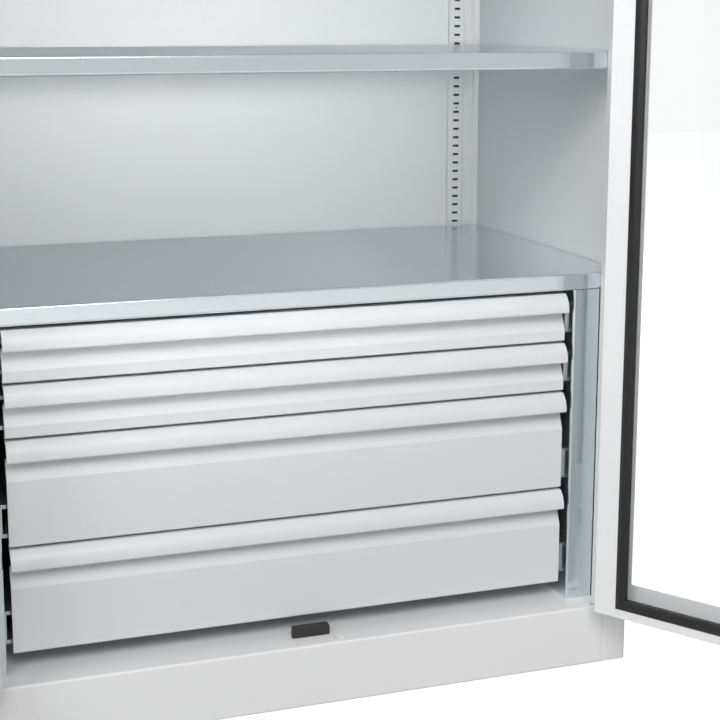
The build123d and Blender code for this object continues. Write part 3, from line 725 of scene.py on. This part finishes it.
print("a slab 10 mm thick has rows", np.round(edge_rows(0.0, 10.0, 2.0), 2).tolist())

# %% Place shapes on the cabinet and on an open leaf
HINGE_X, HINGE_Y = 460.0, -4.5
OPEN_ANGLE = math.radians(123.0)


def stand_up(points, x, z):
    """Lays a slab drawn flat (across, up, forwards) against the cabinet: y is minus its height."""
    return np.stack([x + points[:, 0], -points[:, 2], z + points[:, 1]], axis=1)


def swing(parts, side=1):
    """Turns parts of a closed right leaf to the open rest pose; side -1 mirrors them to the left.

    Seen from the hinge line, (x, y) becomes (x cos t - y sin t, x sin t + y cos t) for the angle t.
    """
    cos, sin = math.cos(OPEN_ANGLE), math.sin(OPEN_ANGLE)
    swung = []
    for points, quads in parts:
        x, y = points[:, 0] - HINGE_X, points[:, 1] - HINGE_Y
        turned_x = HINGE_X + x * cos - y * sin
        turned_y = HINGE_Y + x * sin + y * cos
        swung.append((np.stack([side * turned_x, turned_y, points[:, 2]], axis=1), quads))
    return swung


print("hinge line at", HINGE_X * MM, HINGE_Y * MM)

# %% [markdown]
# ## Rubber window profile
#
# The pane is held as in a car door of old: one rubber profile grips the sheet with its outer groove
# and the pane with its inner one. Seen from inside it has a ridge where its two halves meet, and it
# is cut at 45 degrees in the corners. It could be a curve with a bevel, but that twists at the
# corners. Here the profile is a closed line of points (distance from the rim, depth), carried round
# the rectangle, so that each corner is a true mitre.

# %% Draw the window profile
def rounded_line(corners, radii, steps=4):
    """A closed outline whose corners become arcs.

    At each corner the arc is the quadratic curve from a point on the side before to one on the side
    after, both at the radius from the corner, with the corner itself as its middle handle.
    """
    corner = np.array(corners, float)
    before = np.roll(corner, 1, axis=0) - corner
    after = np.roll(corner, -1, axis=0) - corner
    reach = np.array(radii, float)[:, None]
    start = corner + before / np.linalg.norm(before, axis=1, keepdims=True) * reach
    finish = corner + after / np.linalg.norm(after, axis=1, keepdims=True) * reach
    t = np.linspace(0.0, 1.0, steps)[None, :, None]
    arcs = (1 - t) ** 2 * start[:, None] + 2 * t * (1 - t) * corner[:, None] + t ** 2 * finish[:, None]
    return arcs.reshape(-1, 2)


PROFILE = [
    (7.5, 30.05), (0.1, 30.05), (0.0, 30.9), (8.2, 34.0), (8.8, 33.2), (9.4, 33.95), (17.4, 31.9),
    (17.5, 30.8), (10.5, 30.8), (10.5, 27.7), (17.5, 27.7), (17.4, 26.1), (9.0, 25.5), (0.1, 25.6),
    (0.0, 28.45), (7.5, 28.45),
]
SOFTNESS = [0.05, 0.15, 0.4, 1.1, 0.15, 1.0, 0.4, 0.2, 0.05, 0.05, 0.2, 0.6, 0.6, 0.5, 0.2, 0.05]
profile = rounded_line(PROFILE, SOFTNESS)
print("profile of", len(profile), "points")

# %% Carry it round the windows
RIM_X = (92.0, 424.0)
RIM_Z = (107.5, 1893.5)
MITRE_BLEND = 3.0


def mitred_ring(profile, rim_x, rim_z, blend):
    """The profile carried round a rectangle.

    Row i belongs to a corner, or to a place a few millimetres beside it, so the smooth shading of a
    corner stays short. A point lies at the rim moved inwards by its distance, at its depth in y.
    """
    low, high = np.array([rim_x[0], rim_z[0]]), np.array([rim_x[1], rim_z[1]])
    signs = np.array([(0, 0), (1, 0), (1, 1), (0, 1)], float)
    along = np.array([(1, 0), (0, 1), (-1, 0), (0, -1)], float)
    inset, depth = profile[:, 0], profile[:, 1]
    rows = []
    for number in range(4):
        corner = low + signs[number] * (high - low)
        inward = 1 - 2 * signs[number]
        middle = corner[None, :] + inward[None, :] * inset[:, None]
        rows += [middle - along[number - 1] * blend, middle, middle + along[number] * blend]
    grid = np.array(rows)
    depth = np.broadcast_to(depth, grid.shape[:2])
    points = np.stack([grid[..., 0], depth, grid[..., 1]], axis=-1)
    return points.reshape(-1, 3), grid_quads(*grid.shape[:2], close_rows=True, close_columns=True)


ring = mitred_ring(profile, RIM_X, RIM_Z, MITRE_BLEND)
for side, label in ((1, "right"), (-1, "left")):
    seal = make_piece("window_seal_" + label, swing([ring], side), "rubber", "door_" + label)
    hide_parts("door_gasket_" + label)

# %% [markdown]
# ## Levelling feet
#
# Four feet stand under the corners: a disc with a chamfered rim, a hexagon nut that locks it, and a
# threaded stem that goes up into a plate. A thread could be a screw modifier on a profile. Here it
# is one turned surface whose radius ripples with the angle and the height, because then it closes
# by itself.

# %% Draw the thread and the nut
THREAD_PITCH, THREAD_DEPTH = 1.5, 0.5
THREAD_FROM, THREAD_TO = 10.2, 39.0
NUT_FROM, NUT_TO = 4.5, 9.5
NUT_RADIUS, NUT_ACROSS_FLATS = 10.0, 16.0


def thread(turn, height):
    """A wave that rises one pitch per turn: minus the depth times the distance from the crest line."""
    phase = height / THREAD_PITCH - turn / (2 * np.pi)
    wave = -THREAD_DEPTH * np.abs(2 * (phase - np.floor(phase)) - 1)
    return np.where((height > THREAD_FROM) & (height < THREAD_TO), wave, 0.0)


def hexagon(turn, height):
    """Cuts the nut's sides to flats: half the width over the cosine of the angle from their middle."""
    from_flat = (turn + np.pi / 6) % (np.pi / 3) - np.pi / 6
    side = NUT_ACROSS_FLATS / 2 / np.cos(from_flat) - NUT_RADIUS
    return np.where((height > NUT_FROM) & (height < NUT_TO), side, 0.0)


print("turns of thread", (THREAD_TO - THREAD_FROM) / THREAD_PITCH)

# %% Make the feet
FOOT_X = (480.0, -480.0)
FOOT_Y = (20.0, 556.7)
STEM_RADIUS, STEM_TIP = 5.0, 4.3
THREAD_ROWS = 110
DISC = [(0, 0), (13.0, 0), (14.0, 0.8), (14.0, 2.6), (12.6, 4.0), (0, 4.0)]
NUT = [(5.2, 4.1), (8.2, 4.1), (10, 4.7), (10, 9.3), (8.2, 9.9), (5.2, 9.9), (5.2, 4.1)]

stem_height = np.concatenate([[4.0, 4.0, 10.1], np.linspace(10.3, 38.9, THREAD_ROWS), [39.2, 40.0, 40.0]])
stem_radius = np.full_like(stem_height, STEM_RADIUS)
stem_radius[[0, -1]] = 0.0
stem_radius[-2] = STEM_TIP
stem = np.stack([stem_radius, stem_height], axis=1)
parts = []
for x in FOOT_X:
    for y in FOOT_Y:
        parts += [turned(DISC, (x, y, 0), 48), turned(NUT, (x, y, 0), 48, hexagon),
                  turned(stem, (x, y, 0), 24, thread)]
feet = make_piece("threaded_feet", parts, "bright_steel", "cabinet")
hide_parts("levelling_feet")

# %% [markdown]
# ## Door stop
#
# A moulded black stop sits on the ledge where the two leaves meet. It is an angle of two slabs with
# soft edges, and the upper right corner of its upright is rounder than the others.

# %% Make the door stop
STOP_X, STOP_Z = 8.0, 100.0
STOP_FOOT_Y = 41.6

upright, upright_quads = soft_slab((28.0, 9.0), (6.0, 1.5, 2.0, 1.5), edge_rows(-36.5, -30.5, 0.9, 0.9))
foot, foot_quads = soft_slab((24.0, 10.8), 1.5, edge_rows(91.0, 94.0, 0.9))
parts = [(stand_up(upright, STOP_X, STOP_Z), upright_quads),
         (foot + np.array([STOP_X, STOP_FOOT_Y, 0.0]), foot_quads)]
stop = make_piece("moulded_stop", parts, "black_plastic", "cabinet")
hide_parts("door_stop")

# %% [markdown]
# ## Lock lever and plate
#
# A hub carries the lever, which gets narrower and thinner towards its end, as a die-cast handle does
# so that it leaves its mould and fills the hand. It could be sculpted from a subdivided box. Taking
# the same soft slab as for the stop and tapering its points needs two lines, and stays exact.

# %% Make the lever
LOCK_X, LOCK_Z = 46.0, 1050.0
LEVER_HALF, LEVER_RADIUS = 48.5, 9.0
LEVER_REACH = LEVER_HALF - LEVER_RADIUS
LEVER_BACK, LEVER_FRONT = 6.3, 14.7
NARROWER, THINNER = 0.16, 0.22
HUB = [(0, 3.4), (11.4, 3.4), (12, 4.0), (12, 12.6), (11.6, 14.0), (10.4, 15.0), (8.8, 15.3), (0, 15.3)]
SPINDLE = [(0, -10.0), (4.8, -10.0), (4.8, 3.4), (0, 3.4)]

lever_rows = edge_rows(LEVER_BACK, LEVER_FRONT, 3.0, 1.2, steps=7)
lever, lever_quads = soft_slab((LEVER_HALF, LEVER_RADIUS), LEVER_RADIUS, lever_rows, steps=10)
way = np.clip((lever[:, 0] + LEVER_REACH) / (2 * LEVER_REACH), 0.0, 1.0)
lever[:, 1] *= 1.0 - NARROWER * way
lever[:, 2] = LEVER_BACK + (lever[:, 2] - LEVER_BACK) * (1.0 - THINNER * way)
parts = [(stand_up(lever, LOCK_X + LEVER_REACH, LOCK_Z), lever_quads)]
for points, quads in (turned(HUB, (0, 0, 0), 56), turned(SPINDLE, (0, 0, 0), 24)):
    parts.append((stand_up(points, LOCK_X, LOCK_Z), quads))
cast_lever = make_piece("cast_lever", swing(parts), "black_metal", "handle")
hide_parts("lock_handle")

# %% Make its plate
PLATE_HALF, PLATE_CORNER = (18.0, 48.0), 9.0
PLATE_Z, PLATE_FACE = 1064.0, 3.0

plate, plate_quads = soft_slab(PLATE_HALF, PLATE_CORNER, edge_rows(0.0, PLATE_FACE, 1.2), steps=8)
back_plate = make_piece("lever_plate", swing([(stand_up(plate, LOCK_X, PLATE_Z), plate_quads)]),
                        "black_metal", "door_right")
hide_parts("lock_plate")

# %% [markdown]
# ## Screws
#
# Screws with a flat dome and a cross recess hold the hinge leaves and the lock plate. They could be
# instances of one mesh, but every piece must keep its own place in its mesh, so the screws of one
# body are copies of the same grid in one mesh.

# %% Draw a screw
HEAD_RINGS = np.array([0.0, 0.12, 0.2, 0.3, 0.42, 0.52, 0.6, 0.8, 0.95, 1.0])
HEAD_SEGMENTS = 40
SKIRT = -0.2


def screw_head(radius, rise, depth):
    """A domed head with a cross recess.

    The height is rise times (1 - (r / R)^4 / 2) less the recess. That is depth deep where the smaller
    of |x| and |y| is within the arm's width and the larger one within its length, and its sides are
    soft. A short skirt below the rim and a pole close the head.
    """
    turn = np.linspace(0.0, 2 * np.pi, HEAD_SEGMENTS, endpoint=False)
    reach, turn = np.meshgrid(radius * HEAD_RINGS, turn, indexing="ij")
    across, up = reach * np.cos(turn), reach * np.sin(turn)
    near, far = np.minimum(abs(across), abs(up)), np.maximum(abs(across), abs(up))
    within_width = np.clip((0.2 * radius - near) / (0.08 * radius), 0, 1)
    within_length = np.clip((0.58 * radius - far) / (0.1 * radius), 0, 1)
    height = rise * (1 - 0.5 * (reach / radius) ** 4) - depth * (within_width * within_length)
    skirt = np.stack([across[-1], up[-1], np.full_like(up[-1], SKIRT)], axis=-1)[None]
    pole = skirt * np.array([0.0, 0.0, 1.0])
    grid = np.concatenate([np.stack([across, up, height], axis=-1), skirt, pole])
    return grid.reshape(-1, 3), grid_quads(*grid.shape[:2], close_columns=True)


def screw_row(head, places, face):
    """Copies of a head at (x, z) places on a face that lies in front of the cabinet by a distance."""
    points, quads = head
    lifted = points + np.array([0.0, 0.0, face])
    return [(stand_up(lifted, x, z), quads) for x, z in places]


leaf_screw = screw_head(radius=3.4, rise=1.0, depth=0.9)
plate_screw = screw_head(radius=3.0, rise=0.8, depth=0.8)
print("points of a screw", len(leaf_screw[0]))

# %% Make the screws
HINGE_LEVELS = (254.0, 1000.5, 1747.0)
HINGE_FACE = 2.0
POST_X, POST_STEPS = 471.5, (-26.0, 26.0)
LEAF_X, LEAF_STEPS = 448.5, (-8.5, 8.5)
PLATE_PLACES = [(LOCK_X, 1023.0), (LOCK_X, 1105.0)]

post_places = [(POST_X, z + step) for z in HINGE_LEVELS for step in POST_STEPS]
leaf_places = [(LEAF_X, z + step) for z in HINGE_LEVELS for step in LEAF_STEPS]
on_post = screw_row(leaf_screw, post_places, HINGE_FACE)
on_leaf = screw_row(leaf_screw, leaf_places, HINGE_FACE)
mirrored_post = [(points * np.array([-1.0, 1.0, 1.0]), quads) for points, quads in on_post]
make_piece("post_screws", on_post + mirrored_post, "bright_steel", "cabinet")
for side, label in ((1, "right"), (-1, "left")):
    make_piece("leaf_screws_" + label, swing(on_leaf, side), "bright_steel", "door_" + label)
make_piece("plate_screws", swing(screw_row(plate_screw, PLATE_PLACES, PLATE_FACE)),
           "black_metal", "door_right")
